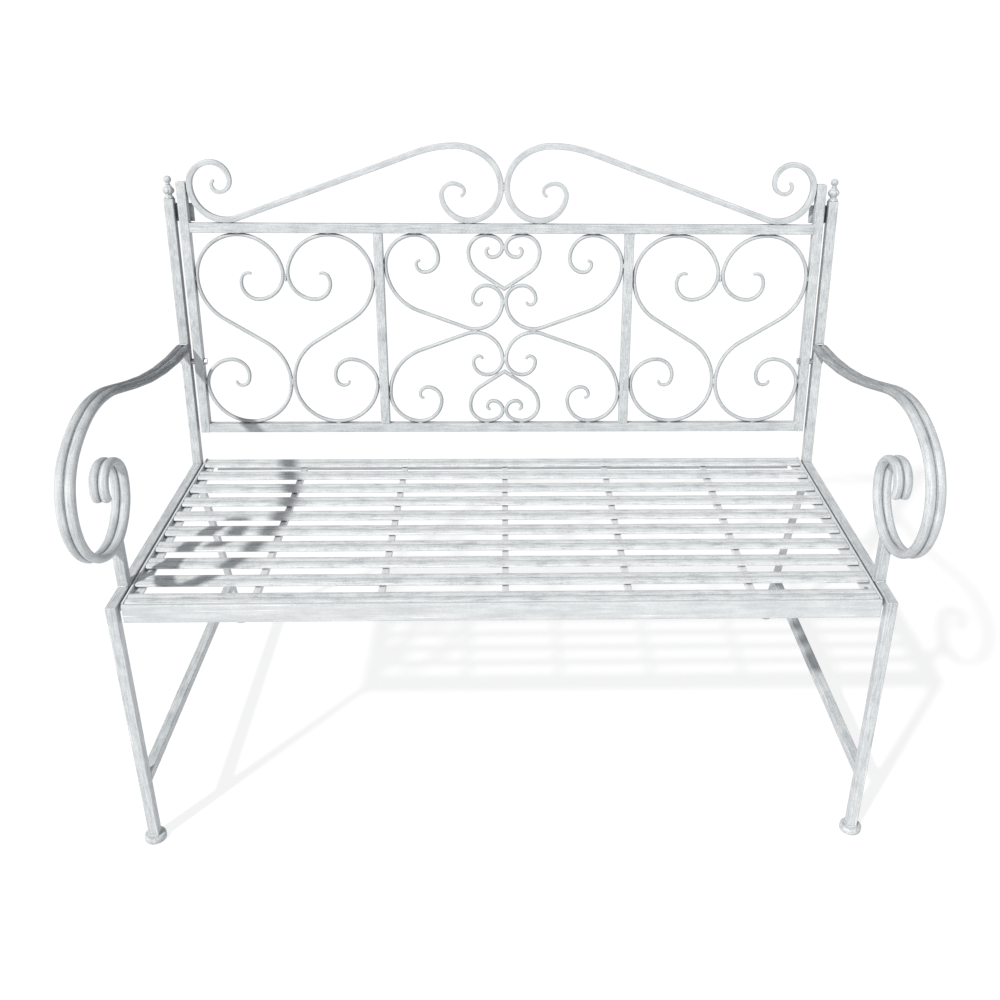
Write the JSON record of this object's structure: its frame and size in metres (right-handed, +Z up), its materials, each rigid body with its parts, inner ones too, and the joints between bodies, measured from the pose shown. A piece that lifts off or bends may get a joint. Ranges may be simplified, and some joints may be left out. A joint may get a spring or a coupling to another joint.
{
  "type": "garden bench",
  "caption": "Ornate whitewashed steel garden bench with leaning scrolled back, slatted seat, scrolled band arms and splayed rear legs.",
  "frame": {"origin": "on the floor, under the middle of the whole object's box", "axes": "+Z up, -Y is the front, +X to the right seen from the front; X is the object's length and the plane of symmetry is YZ"},
  "size_m": [1.168, 0.728, 1.0085],
  "materials": {
    "frame_paint": "streaky white brushed over pale blue-grey, matt",
    "scroll_paint": "pale blue-grey with white brushed on its outer side, matt",
    "slat_paint": "streaky white brushed along the slats over blue-grey, matt",
    "foot_paint": "white over blue-grey, worn at the rim",
    "fixing_zinc": "dull zinc"
  },
  "bodies": {
    "root": {"back_bottom_rail": "frame_paint", "back_straps": "frame_paint", "back_top_rail": "frame_paint", "front_apron": "frame_paint", "left_arm_support": "frame_paint", "left_armrest": "frame_paint", "left_crest_scroll": "scroll_paint", "left_finial": "frame_paint", "left_front_foot": "foot_paint", "left_front_leg": "frame_paint", "left_inner_s_scroll": "scroll_paint", "left_lower_c_scroll": "scroll_paint", "left_mullion": "frame_paint", "left_outer_s_scroll": "scroll_paint", "left_rear_foot": "foot_paint", "left_rear_leg": "frame_paint", "left_rear_post": "frame_paint", "left_seat_angle": "frame_paint", "left_seat_rail": "frame_paint", "left_side_stretcher": "frame_paint", "left_stile": "frame_paint", "left_upper_c_scroll": "scroll_paint", "lower_heart": "scroll_paint", "panel_spacers": "fixing_zinc", "right_arm_support": "frame_paint", "right_armrest": "frame_paint", "right_crest_scroll": "scroll_paint", "right_finial": "frame_paint", "right_front_foot": "foot_paint", "right_front_leg": "frame_paint", "right_inner_s_scroll": "scroll_paint", "right_lower_c_scroll": "scroll_paint", "right_mullion": "frame_paint", "right_outer_s_scroll": "scroll_paint", "right_rear_foot": "foot_paint", "right_rear_leg": "frame_paint", "right_rear_post": "frame_paint", "right_seat_angle": "frame_paint", "right_seat_rail": "frame_paint", "right_side_stretcher": "frame_paint", "right_stile": "frame_paint", "right_upper_c_scroll": "scroll_paint", "seat_bearers": "frame_paint", "seat_bolts": "fixing_zinc", "seat_lugs": "frame_paint", "seat_rear_bar": "frame_paint", "side_bolts": "fixing_zinc", "side_nuts": "fixing_zinc", "slat_1": "slat_paint", "slat_10": "slat_paint", "slat_2": "slat_paint", "slat_3": "slat_paint", "slat_4": "slat_paint", "slat_5": "slat_paint", "slat_6": "slat_paint", "slat_7": "slat_paint", "slat_8": "slat_paint", "slat_9": "slat_paint", "strap_bolts": "fixing_zinc", "upper_heart": "scroll_paint"}
  },
  "joints": []
}
